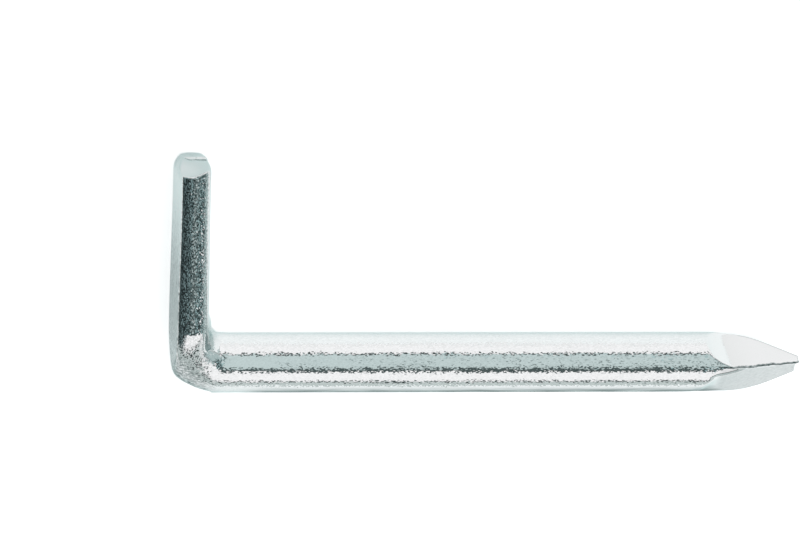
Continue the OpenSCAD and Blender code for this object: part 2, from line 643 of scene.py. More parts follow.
@dataclass(frozen=True)
class WireMarks:
    """Shallow marks in the skin: drawing lines along the shank and streaks up the plate.

    A negative place in a Fade counts back from the tip or down from the plate's top.
    """

    nail: NailFrame
    line_depth: float = 0.006
    line_pitch: Pitch = (5.0, 0.22, 0.22)
    streak_depth: float = 0.009
    streak_pitch: Pitch = (0.24, 4.0, 0.24)
    ripple_depth: float = 0.012
    ripple_pitch: Pitch = (0.45, 0.45, 0.45)
    mean: float = 0.5
    gain: float = 0.7
    shank_start: Fade = (2.5, 2.0)
    shank_stop: Fade = (-6.3, 0.6)
    plate_start: Fade = (1.5, 1.5)
    plate_stop: Fade = (-1.2, 0.6)
    heel_front: Fade = (2.2, 1.5)
    heel_top: Fade = (1.6, 1.5)
    noise: GradientNoise = field(default_factory=lambda: GradientNoise(23))

    def scored(self, p: np.ndarray, depth: float, pitch: Pitch) -> np.ndarray:
        """Give the depth of one kind of mark, as if it covered the whole nail."""
        return depth * (self.mean + self.gain * self.noise(p, pitch))

    def depth(self, p: np.ndarray) -> np.ndarray:
        """Give how deep the marks are.

        Args:
            p: The places on the skin.

        Returns:
            The depth at each place, in millimetres.
        """
        x, y, _ = p.T
        on_shank = rise(x, *self.shank_start) * fall(x - self.nail.length, *self.shank_stop)
        on_plate = rise(y, *self.plate_start) * fall(y - self.nail.plate_top, *self.plate_stop)
        on_heel = fall(x, *self.heel_front) * fall(y, *self.heel_top)
        lines = on_shank * self.scored(p, self.line_depth, self.line_pitch)
        streaks = on_plate * self.scored(p, self.streak_depth, self.streak_pitch)
        ripples = on_heel * self.scored(p, self.ripple_depth, self.ripple_pitch)
        return np.maximum(lines + streaks + ripples, 0.0)


@dataclass(frozen=True)
class PlatingWear:
    """How the plating varies over the nail: its grain, and the painted shade that darkens it in places,
    from 0 to 1.

    A negative place in a Fade counts back from the tip or down from the plate's top. The
    heel's painted shade is measured from the bend's centre and out from its centre line.
    """

    nail: NailFrame
    bend: BendShape
    flats: PressedFlats
    point: PinchedPoint
    upright_over: float = 0.2
    # The grain, which is rougher on the plate and the heel and smooth on the pinched facets.
    grain: float = 0.56
    rough_grain: float = 0.36
    patch_grain: float = 0.3
    patch_pitch: Pitch = (1.6, 0.5, 0.5)
    grain_over: float = 1.5
    heel_front: Fade = (3.0, 1.5)
    heel_top: Fade = (1.5, 1.5)
    flat_grain: float = 0.35
    flat_edge: Fade = (0.92, 0.06)
    point_grain: float = 0.05
    point_start: Fade = (-7.0, 0.5)
    pinch: Fade = (0.004, 0.02)
    # The speckle and the streaks that break the painted shade up.
    fine_pitch: Pitch = (0.15, 0.15, 0.15)
    fine_gain: float = 2.4
    drawn_pitch: Pitch = (1.9, 0.28, 0.28)
    drawn_gain: float = 1.2
    # The painted shade: on the heel, the plate's back, the underside, the facets and the free end.
    heel_painted_shade: float = 0.46
    heel_back: float = 2.6
    heel_down: float = 2.0
    heel_out: Fade = (0.3, 1.0)
    back_painted_shade: float = 0.5
    back_skin: Fade = (0.14, 0.08)
    back_start: Fade = (0.5, 1.0)
    back_stop: Fade = (-1.0, 8.0)
    under_painted_shade: float = 0.6
    under_side: Fade = (0.6, 0.34)
    under_start: Fade = (0.5, 2.0)
    under_stop: Fade = (-4.0, 2.0)
    lower_facet_painted_shade: float = 0.24
    lower_facet_start: Fade = (-5.6, 0.5)
    lower_facet_side: float = 0.1
    lower_facet_fine: float = 0.25
    upper_facet_painted_shade: float = 0.045
    upper_facet_start: Fade = (-7.0, 0.3)
    upper_facet_side: float = 0.3
    end_painted_shade: float = 0.16
    end_start: Fade = (-1.0, 0.3)
    patches: GradientNoise = field(default_factory=lambda: GradientNoise(5))

    def upright(self, points: np.ndarray) -> np.ndarray:
        """Give 0 along the shank and 1 up the plate, at each place."""
        centre_x, centre_y = self.bend.centre
        return ease((points[:, 1] - centre_y - points[:, 0] + centre_x) / self.upright_over)

    def peel(self, points: np.ndarray) -> np.ndarray:
        """Give how strongly the plating's grain shows.

        Args:
            points: The places in the nail's axes.

        Returns:
            One value a place.
        """
        nail = self.nail
        x, y, z = points.T
        on_plate = rise(y, nail.wire_r, self.grain_over)
        side = np.abs(z - nail.plate_shift) / nail.plate_half_w
        flat = on_plate * fall(side, *self.flat_edge)
        rim = nail.wire_r - np.hypot(y, z)
        pinched = rise(x - nail.length, *self.point_start) * rise(rim, *self.pinch)
        on_heel = fall(x, *self.heel_front) * fall(y, *self.heel_top)
        peel = self.grain + self.rough_grain * np.maximum(on_plate, on_heel)
        peel = peel + self.patch_grain * self.patches(points, self.patch_pitch)
        return mix(mix(peel, self.flat_grain, flat), self.point_grain, pinched)

    def bend_painted_shade(self, points: np.ndarray, fine: np.ndarray) -> np.ndarray:
        """Give the painted shade on the outside of the bend, and on the back of the plate over it.

        Args:
            points: The places in the nail's axes.
            fine: The fine speckle there.

        Returns:
            One value a place.
        """
        x, y, _ = points.T
        centre_x, centre_y = self.bend.centre
        corner = ease((centre_x - x) / self.heel_back) * ease((centre_y - y) / self.heel_down)
        out = np.hypot(x - centre_x, y - centre_y) - self.bend.line_r
        # Painted shade on the outside of the bend, next to the floor.
        heel = self.heel_painted_shade * corner * rise(out, *self.heel_out)
        # Painted shade on the back flat, strongest low on the plate and fading towards its top.
        back = self.back_painted_shade * fall(x, *self.back_skin) * rise(y, *self.back_start)
        back = back * fall(y - self.nail.plate_top, *self.back_stop)
        return np.maximum(heel, back) * fine

    def shank_painted_shade(self, points: np.ndarray) -> np.ndarray:
        """Give the painted shade on the underside of the shank, in streaks along its drawing lines.

        Args:
            points: The places in the nail's axes.

        Returns:
            One value a place.
        """
        x, y, _ = points.T
        # Painted shade: the shank's underside darker towards its bottom edge.
        under = self.under_painted_shade * rise(-y / self.nail.wire_r, *self.under_side)
        under = under * rise(x - self.bend.centre[0], *self.under_start)
        under = under * fall(x - self.nail.length, *self.under_stop)
        return under * (1.0 + self.drawn_gain * self.patches(points, self.drawn_pitch))

    def facet_painted_shade(self, points: np.ndarray, fine: np.ndarray) -> np.ndarray:
        """Give the painted shade on the point's lower and upper facets.

        Args:
            points: The places in the nail's axes.
            fine: The fine speckle there.

        Returns:
            One value a place.
        """
        x, y, _ = points.T
        # Painted shade: the lower facets clearly darker, the upper ones slightly.
        lower = self.lower_facet_painted_shade * rise(x - self.nail.length, *self.lower_facet_start)
        lower = lower * ease(-y / self.lower_facet_side) * mix(1.0, fine, self.lower_facet_fine)
        upper = self.upper_facet_painted_shade * rise(x - self.nail.length, *self.upper_facet_start)
        return np.maximum(lower, upper * ease(y / self.upper_facet_side))

    def dull(self, points: np.ndarray) -> np.ndarray:
        """Give the painted shade on the plating.

        Args:
            points: The places in the nail's axes.

        Returns:
            One value a place: the most that any of its painted shades gives.
        """
        fine = 1.0 + self.fine_gain * self.patches(points, self.fine_pitch)
        # Painted shade on the free end's face.
        end = self.end_painted_shade * rise(points[:, 1] - self.nail.plate_top, *self.end_start)
        return np.max([
            self.bend_painted_shade(points, fine), self.shank_painted_shade(points), self.facet_painted_shade(points, fine),
            end, self.flats.dull(points), self.point.dull(points)], axis=0)


@dataclass(frozen=True)
class NailSkin:
    """The closed skin of the nail: rings of rays from inside the metal out to its surface.

    The rings start at the free end, and follow the wire down the plate, around the bend
    and along the shank to the tip. Rays stand closer together at the creases.
    """

    nail: NailFrame
    bend: BendShape
    flats: PressedFlats
    end: ShearedEnd
    point: PinchedPoint
    marks: WireMarks
    wear: PlatingWear
    # How many rays a ring has, and how closely they stand at its creases.
    sides: int = 272
    turn_steps: int = 2880
    crease_half: float = math.radians(4.0)
    crease_gain: float = 5.0
    ridge_gain: float = 4.0
    ridge_over: float = 2.0
    # How deep the end fans start, and how many rings each stretch has.
    end_depth: float = 1.3
    end_rings: int = 40
    end_power: float = 1.4
    wall_rings: int = 34
    wall_power: float = 1.2
    plate_rings: int = 62
    bend_rings: int = 52
    shank_rings: int = 50
    point_rings: int = 62
    point_length: float = 6.4
    tip_depth: float = 0.6
    tip_width: float = 1.2
    tip_wall_rings: int = 8
    tip_rings: int = 9
    # How far a ray is followed, in how many steps, and how finely its end is then found.
    ray_reach: float = 4.5
    ray_steps: int = 46
    halvings: int = 22

    @property
    def end_start(self) -> np.ndarray:
        """Where the free end's rays start, inside the plate."""
        return np.array([self.nail.plate_half_t, self.end.top - self.end_depth, self.nail.plate_shift])

    @property
    def tip_start(self) -> np.ndarray:
        """Where the tip's rays start, inside the point."""
        return np.array([self.nail.length - self.tip_depth, 0.0, 0.0])

    def field(self, p: np.ndarray) -> np.ndarray:
        """Work out the whole nail.

        Args:
            p: The places, in the nail's axes.

        Returns:
            The field: negative in the metal, and nearly a distance close to its surface.
        """
        metal = self.flats.cut(self.bend.field(p), p)
        return self.point.cut(self.end.cut(metal, p), p)

    def crease_angle(self, angle: float) -> float:
        """Direction of the back flat's edge, seen from a section's middle.

        Args:
            angle: The section's angle around the bend.

        Returns:
            The angle from the outward direction, or 0 where the flat has run out.
        """
        through, across, _ = (float(v) for v in self.bend.half_sizes(np.array(angle)))
        depth = self.bend.centre[0] / max(math.sin(angle), LEAST) - self.bend.line_r
        if depth >= through:
            return 0.0
        return math.atan2(across * math.sqrt(1.0 - (depth / through) ** 2), depth)

    def plate_creases(self, angle: float) -> tuple[list[float], float]:
        """Find the four edges that the flats leave on a section.

        Args:
            angle: The section's angle around the bend.

        Returns:
            The edges' directions, and how strongly they draw the rays.
        """
        back = self.crease_angle(angle)
        front = math.pi - self.crease_angle(QUARTER)
        return [back, -back, front, -front], self.crease_gain * float(ease(np.array(back)))

    def ridge_angles(self) -> list[float]:
        """Directions of the point's four ridges in a section of the shank."""
        return [i * QUARTER + self.point.turn for i in range(4)]

    def spread_angles(self, creases: list[float], gain: float) -> np.ndarray:
        """Space a ring's rays more closely around its creases.

        Args:
            creases: The directions of the creases.
            gain: How much more closely.

        Returns:
            One angle a ray.
        """
        turn = np.linspace(0.0, 2.0 * math.pi, self.turn_steps + 1)
        density = np.ones_like(turn)
        for crease in creases:
            apart = np.angle(np.exp(1j * (turn - crease)))
            density += gain * np.exp(-((apart / self.crease_half) ** 2))
        total = np.concatenate([[0.0], np.cumsum((density[1:] + density[:-1]) / 2)])
        return np.interp(np.arange(self.sides) * total[-1] / self.sides, total, turn)

    def section(self, middle: tuple[float, float], angle: float, creases: list[float],
                gain: float) -> Rays:
        """Make the rays of one flat section, at right angles to the wire.

        Args:
            middle: The section's middle, in X and Y.
            angle: The section's angle around the bend.
            creases: The directions of its creases.
            gain: How closely the rays stand at the creases.

        Returns:
            The rays' starts and directions.
        """
        t = self.spread_angles(creases, gain)
        shift = float(self.bend.half_sizes(np.array(angle))[2])
        out = np.array([-math.sin(angle), -math.cos(angle), 0.0])
        ways = np.outer(np.cos(t), out) + np.outer(np.sin(t), [0.0, 0.0, 1.0])
        return np.tile([middle[0], middle[1], shift], (self.sides, 1)), ways

    def fan(self, start: np.ndarray, ways: np.ndarray) -> Rays:
        """Make the rays that leave one place, with their directions brought to length 1."""
        return np.tile(start, (self.sides, 1)), ways / np.linalg.norm(ways, axis=1, keepdims=True)

    def end_rays(self) -> list[Rays]:
        """Make the rays that fan out over the free end, from its middle out and down its sides.

        Returns:
            One set of rays a ring.
        """
        t = self.spread_angles(*self.plate_creases(QUARTER))
        through, across = np.cos(t), np.sin(t)
        wall = np.minimum(
            self.nail.plate_half_t / np.maximum(np.abs(through), TINY),
            self.nail.plate_half_w / np.maximum(np.abs(across), TINY))
        over = 1.0 - (1.0 - np.linspace(0.0, 1.0, self.end_rings)[1:]) ** self.end_power
        down = np.linspace(0.0, 1.0, self.wall_rings)[1:] ** self.wall_power
        rings = []
        for share, drop in [(s, 0.0) for s in over] + [(1.0, d) for d in down]:
            up = np.full_like(t, self.end_depth * (1.0 - drop))
            ways = np.stack([-through * wall * share, up, across * wall * share], axis=1)
            rings.append(self.fan(self.end_start, ways))
        return rings

    def tip_rays(self) -> list[Rays]:
        """Make the rays that fan out over the blunt tip, from its side in to its middle.

        Returns:
            One set of rays a ring.
        """
        t = self.spread_angles(self.ridge_angles(), self.ridge_gain)
        down, across = np.cos(t), np.sin(t)
        wall = self.tip_width * self.point.tip_half / np.maximum(np.abs(down) + np.abs(across), TINY)
        out = np.linspace(0.0, 1.0, self.tip_wall_rings)[1:]
        inward = 1.0 - np.linspace(0.0, 1.0, self.tip_rings)[1:-1]
        rings = []
        for share, climb in [(1.0, u) for u in out] + [(s, 1.0) for s in inward]:
            along = np.full_like(t, self.tip_depth * climb)
            ways = np.stack([along, -down * wall * share, across * wall * share], axis=1)
            rings.append(self.fan(self.tip_start, ways))
        return rings

    def all_rays(self) -> list[Rays]:
        """Make every ring of rays, from the free end to the tip.

        Returns:
            One set of rays a ring.
        """
        centre_x, centre_y = self.bend.centre
        line_r = self.bend.line_r
        rings = self.end_rays()
        for y in np.linspace(self.end_start[1], centre_y, self.plate_rings)[1:]:
            middle = (self.nail.plate_half_t, y)
            rings.append(self.section(middle, QUARTER, *self.plate_creases(QUARTER)))
        for angle in np.linspace(QUARTER, 0.0, self.bend_rings)[1:]:
            middle = (centre_x - line_r * math.sin(angle), centre_y - line_r * math.cos(angle))
            rings.append(self.section(middle, angle, *self.plate_creases(angle)))
        point_from = self.nail.length - self.point_length
        for x in np.linspace(centre_x, point_from, self.shank_rings)[1:]:
            rings.append(self.section((x, 0.0), 0.0, [], 0.0))
        for x in np.linspace(point_from, self.tip_start[0], self.point_rings)[1:]:
            gain = self.ridge_gain * float(rise(x, point_from, self.ridge_over))
            rings.append(self.section((x, 0.0), 0.0, self.ridge_angles(), gain))
        return rings + self.tip_rays()

    def hit(self, starts: np.ndarray, ways: np.ndarray) -> np.ndarray:
        """Follow rays from inside the metal out to its surface.

        Args:
            starts: Where the rays start, inside the metal.
            ways: Their directions, of length 1.

        Returns:
            The points where they leave the metal.
        """
        steps = np.linspace(0.0, self.ray_reach, self.ray_steps)
        low = np.zeros(len(starts))
        high = np.full(len(starts), steps[-1])
        found = np.zeros(len(starts), bool)
        for near, far in zip(steps[:-1], steps[1:]):
            crossed = ~found & (self.field(starts + ways * far) > 0.0)
            low[crossed], high[crossed] = near, far
            found |= crossed
        for _ in range(self.halvings):
            middle = (low + high) / 2
            outside = self.field(starts + ways * middle[:, None]) > 0.0
            high = np.where(outside, middle, high)
            low = np.where(outside, low, middle)
        return starts + ways * ((low + high) / 2)[:, None]

    def faces(self, rings: int) -> list[tuple[int, ...]]:
        """Join the rings with squares, and close both ends with triangles.

        Args:
            rings: How many rings there are.

        Returns:
            The corners of each face, in the order that turns it outwards.
        """
        n = self.sides
        top, tip, last = rings * n, rings * n + 1, (rings - 1) * n
        around = [(i, (i + 1) % n) for i in range(n)]
        faces = [(top, i, j) for i, j in around]
        for a in range(0, last, n):
            faces += [(a + i, a + n + i, a + n + j, a + j) for i, j in around]
        return faces + [(last + i, tip, last + j) for i, j in around]

    def build(self) -> bpy.types.Object:
        """Skin the nail.

        Returns:
            The nail's mesh object, in the row's frame.
        """
        rings = self.all_rays()
        starts = np.concatenate([ring[0] for ring in rings])
        ways = np.concatenate([ring[1] for ring in rings])
        skin = self.hit(starts, ways)
        skin = skin - ways * self.marks.depth(skin)[:, None]
        outward = np.array([[0.0, 1.0, 0.0], [1.0, 0.0, 0.0]])
        poles = self.hit(np.array([self.end_start, self.tip_start]), outward)
        points = np.concatenate([skin, poles])
        mesh = bpy.data.meshes.new("hook_nail")
        mesh.from_pydata(self.nail.to_row(points), [], self.faces(len(rings)))
        mesh.polygons.foreach_set("use_smooth", np.ones(len(mesh.polygons), bool))
        mesh.update()
        piece = bpy.data.objects.new("hook_nail", mesh)
        bpy.context.scene.collection.objects.link(piece)
        self.paint(mesh, "peel", self.wear.peel(points))
        # The painted shade, which the finish blends into the plating's colour.
        self.paint(mesh, "dull", self.wear.dull(points))
        self.paint(mesh, "upright", self.wear.upright(points))
        return piece

    @staticmethod
    def paint(mesh: bpy.types.Mesh, name: str, values: np.ndarray) -> None:
        """Store one value a point on the mesh, from 0 to 1, for its finish to read."""
        attribute = mesh.attributes.new(name, "FLOAT", "POINT")
        attribute.data.foreach_set("value", np.clip(values, 0.0, 1.0).astype(np.float32))


class Tone(Enum):
    """The levels of the studio around the nail, as linear colours."""

    LEFT_ROOM = (0.088, 0.124, 0.129)
    MIDDLE_ROOM = (0.235, 0.34, 0.35)
    RIGHT_ROOM = (0.225, 0.32, 0.326)
    RIGHT_WALL = (0.56, 0.69, 0.69)
    SOFTBOX = (1.25, 1.25, 1.26)
    SOFTBOX_EDGE = (1.13, 1.14, 1.14)
    CEILING = (0.74, 0.87, 0.87)
    FLAG = (0.1, 0.135, 0.135)
    GAP = (0.07, 0.09, 0.09)
    SKIRT = (0.72, 0.805, 0.795)


class Graph:
    """A node tree, with short ways to add nodes and to join them."""

    # Where a mix node has its two colours and its result.
    MIX_COLOURS = (6, 7)
    MIX_RESULT = 2

    def __init__(self, tree: bpy.types.NodeTree) -> None:
        """Wrap a tree.

        Args:
            tree: The material's or the world's node tree.
        """
        self.nodes = tree.nodes
        self.links = tree.links

    def add(self, kind: str, **settings: object) -> bpy.types.Node:
        """Add a shader node.

        Args:
            kind: The node's kind, without the word that all shader nodes start with.
            settings: The node's settings, by name.

        Returns:
            The node.
        """
        node = self.nodes.new(f"ShaderNode{kind}")
        for name, value in settings.items():
            setattr(node, name, value)
        return node

    def feed(self, socket: Socket, value: object) -> None:
        """Join an output to a socket, or set the socket's plain value.

        Args:
            socket: The input socket.
            value: The output that feeds it, or a plain value.
        """
        if isinstance(value, Socket):
            self.links.new(value, socket)
        else:
            socket.default_value = value

    def math(self, operation: str, *values: object) -> Socket:
        """Add a node that works one value out of others.

        Args:
            operation: What the node does.
            values: One, two or three sockets or numbers.

        Returns:
            The result's socket.
        """
        node = self.add("Math", operation=operation)
        for socket, value in zip(node.inputs, values):
            self.feed(socket, value)
        return node.outputs[0]

    def span(self, value: object, low: float, high: float, start: float = 0.0, stop: float = 1.0,
             curve: str = "SMOOTHSTEP") -> Socket:
        """Map a value's stretch from low to high onto start to stop.

        Args:
            value: The value to map.
            low: Where the stretch begins.
            high: Where it ends.
            start: What it begins with.
            stop: What it ends with.
            curve: The shape of the change.

        Returns:
            The mapped value's socket.
        """
        node = self.add("MapRange", interpolation_type=curve)
        for socket, number in zip(node.inputs, (value, low, high, start, stop)):
            self.feed(socket, number)
        return node.outputs["Result"]

    def blend(self, share: object, first: object, second: object) -> Socket:
        """Mix two colours.

        Args:
            share: How much of the second colour shows, from 0 to 1.
            first: The first colour, or its socket.
            second: The second colour, or its socket.

        Returns:
            The mixed colour's socket.
        """
        node = self.add("Mix", data_type="RGBA")
        self.feed(node.inputs["Factor"], share)
        for index, colour in zip(self.MIX_COLOURS, (first, second)):
            self.feed(node.inputs[index], colour)
        return node.outputs[self.MIX_RESULT]

    def ramp(self, value: object, stops: list[tuple[float, Colour, float]]) -> bpy.types.Node:
        """Add a colour ramp.

        Args:
            value: What the ramp is read at, from 0 to 1.
            stops: The place, the colour and the alpha of each stop, in order.

        Returns:
            The ramp's node.
        """
        node = self.add("ValToRGB")
        self.feed(node.inputs[0], value)
        elements = node.color_ramp.elements
        while len(elements) > 1:
            elements.remove(elements[-1])
        for index, (place, colour, alpha) in enumerate(stops):
            stop = elements[0] if index == 0 else elements.new(place)
            stop.position = place
            stop.color = (*colour, alpha)
        return node


@dataclass(frozen=True)
class ZincFinish:
    """Bright zinc plating over drawn wire: tiny facets, each with its own tilt, shade and pits.

    The facets are long along the shank and up the plate. The skin's "peel" says how
    strongly they show, its painted shade how much the plating's colour is darkened, and
    "upright" where the plate is.
    """

    slot: str = "zinc_plated_steel"
    colour: Colour = (0.73, 0.735, 0.735)
    edge_colour: Colour = (0.68, 0.78, 0.775)
    # The dark colours that the random shade, the pits and the painted shade blend the plating towards.
    dark_and_shaded_colour: Colour = (0.12, 0.15, 0.15)
    dark_and_shaded_edge: Colour = (0.25, 0.31, 0.31)
    roughness: float = 0.06
    upright_from: float = 0.5
    shank_cell: Pitch = (0.12 * MM, 0.055 * MM, 0.055 * MM)
    plate_cell: Pitch = (0.055 * MM, 0.075 * MM, 0.055 * MM)
    shank_tilt: float = 0.24
    plate_tilt: float = 0.2
    shank_shade: float = 0.2
    plate_shade: float = 0.45
    pit_share: float = 0.12
    pit_dark: float = 0.6
    pit_peel: tuple[float, float] = (0.7, 0.9)

    def material(self) -> bpy.types.Material:
        """Build the plating's node material.

        Returns:
            The material.
        """
        material = bpy.data.materials.new(self.slot)
        material.use_nodes = True
        graph = Graph(material.node_tree)
        shader = graph.nodes["Principled BSDF"]
        graph.feed(shader.inputs["Metallic"], 1.0)
        graph.feed(shader.inputs["Roughness"], self.roughness)
        peel, dull, upright = (graph.add("Attribute", attribute_name=name).outputs["Fac"]
                               for name in ("peel", "dull", "upright"))
        upright = graph.math("GREATER_THAN", upright, self.upright_from)
        drawn = graph.blend(
            upright, *(self.cells(graph, size) for size in (self.shank_cell, self.plate_cell)))
        tilt = graph.span(upright, 0.0, 1.0, self.shank_tilt, self.plate_tilt, curve="LINEAR")
        lean = graph.math("MULTIPLY", peel, tilt)
        graph.feed(shader.inputs["Normal"], self.tilted(graph, drawn, lean))
        lot = graph.add("SeparateXYZ")
        graph.feed(lot.inputs[0], drawn)
        pitted = graph.math("LESS_THAN", lot.outputs["X"], self.pit_share)
        pitted = graph.math("MULTIPLY", pitted, graph.span(peel, *self.pit_peel, 0.0, self.pit_dark))
        shade = graph.span(upright, 0.0, 1.0, self.shank_shade, self.plate_shade, curve="LINEAR")
        shade = graph.math("MULTIPLY", lot.outputs["Y"], shade)
        # The random shade and the pits are the plating's own tone; the painted shade from the skin
        # darkens it further.
        worn_and_shaded = graph.math("MAXIMUM", graph.math("MULTIPLY_ADD", peel, shade, pitted), dull)
        plating = graph.blend(worn_and_shaded, (*self.colour, 1.0), (*self.dark_and_shaded_colour, 1.0))
        graph.feed(shader.inputs["Base Color"], plating)
        # The edge tint darkens with the pits and the painted shade.
        edge_worn_and_shaded = graph.math("MAXIMUM", dull, pitted)
        edge = graph.blend(edge_worn_and_shaded, (*self.edge_colour, 1.0), (*self.dark_and_shaded_edge, 1.0))
        graph.feed(shader.inputs["Specular Tint"], edge)
        return material

    @staticmethod
    def cells(graph: Graph, size: Pitch) -> Socket:
        """Fill the metal with facets, each with its own random colour.

        Args:
            graph: The material's graph.
            size: About how large a facet is along each axis, in metres.

        Returns:
            The random colour's socket.
        """
        scaled = graph.add("VectorMath", operation="DIVIDE")
        graph.feed(scaled.inputs[0], graph.add("TexCoord").outputs["Object"])
        graph.feed(scaled.inputs[1], size)
        cells = graph.add("TexVoronoi")
        graph.feed(cells.inputs["Vector"], scaled.outputs[0])
        graph.feed(cells.inputs["Scale"], 1.0)
        return cells.outputs["Color"]

    @staticmethod
    def tilted(graph: Graph, lot: Socket, tilt: Socket) -> Socket:
        """Tilt the surface by each facet's own random direction.

        Args:
            graph: The material's graph.
            lot: A random colour for each facet.
            tilt: How far the facets may lean.

        Returns:
            The tilted normal's socket.
        """
        centred = graph.add("VectorMath", operation="SUBTRACT")
        graph.feed(centred.inputs[0], lot)
        graph.feed(centred.inputs[1], (0.5, 0.5, 0.5))
        scaled = graph.add("VectorMath", operation="SCALE")
        graph.feed(scaled.inputs[0], centred.outputs[0])
        graph.feed(scaled.inputs["Scale"], tilt)
        leaning = graph.add("VectorMath", operation="ADD")
        graph.feed(leaning.inputs[0], graph.add("NewGeometry").outputs["Normal"])
        graph.feed(leaning.inputs[1], scaled.outputs[0])
        unit = graph.add("VectorMath", operation="NORMALIZE")
        graph.feed(unit.inputs[0], leaning.outputs[0])
        return unit.outputs[0]


@dataclass(frozen=True)
class PaleFloor:
    """The pale floor, with a soft pool of painted light beyond the shank."""

    half: float = 3.0
    colour: Colour = (0.8, 0.8, 0.8)
    glow: float = 0.58
    # A painted pool of light: extra glow in the floor beyond the shank.
    painted_pool: float = 0.025
    painted_pool_x: tuple[float, float] = (-18.0 * MM, -8.0 * MM)
    painted_pool_y: tuple[float, float] = (-3.5 * MM, 0.0)

    def build(self) -> bpy.types.Object:
        """Lay the floor that the nail rests on.

        Returns:
            The floor's object.
        """
        h = self.half
        mesh = bpy.data.meshes.new("floor")
        mesh.from_pydata([(-h, -h, 0), (h, -h, 0), (h, h, 0), (-h, h, 0)], [], [(0, 1, 2, 3)])
        mesh.materials.append(self.material())
        floor = bpy.data.objects.new("floor", mesh)
        bpy.context.scene.collection.objects.link(floor)
        return floor

    def material(self) -> bpy.types.Material:
        """Build the floor's material, which is pale to the camera and in the metal alike.

        Returns:
            The material.
        """
        material = bpy.data.materials.new("pale_floor")
        material.use_nodes = True
        graph = Graph(material.node_tree)
        graph.nodes.remove(graph.nodes["Principled BSDF"])
        path = graph.add("LightPath")
        seen = graph.math("MAXIMUM", path.outputs["Is Camera Ray"], path.outputs["Is Glossy Ray"])
        seen = graph.math("MAXIMUM", seen, path.outputs["Is Transmission Ray"])
        place = graph.add("SeparateXYZ")
        graph.feed(place.inputs[0], graph.add("NewGeometry").outputs["Position"])
        # The painted pool of light, which the metal shows in reflection.
        along = graph.span(place.outputs["X"], *self.painted_pool_x)
        painted_pool = graph.span(place.outputs["Y"], *self.painted_pool_y, 0.0, self.painted_pool)
        level = graph.math("MULTIPLY_ADD", along, painted_pool, self.glow)
        glow = graph.add("Emission")
        graph.feed(glow.inputs["Strength"], graph.math("MULTIPLY", level, seen))
        diffuse = graph.add("BsdfDiffuse")
        graph.feed(diffuse.inputs["Color"], (*self.colour, 1.0))
        both = graph.add("AddShader")
        graph.feed(both.inputs[0], diffuse.outputs[0])
        graph.feed(both.inputs[1], glow.outputs[0])
        graph.feed(graph.nodes["Material Output"].inputs["Surface"], both.outputs[0])
        return material


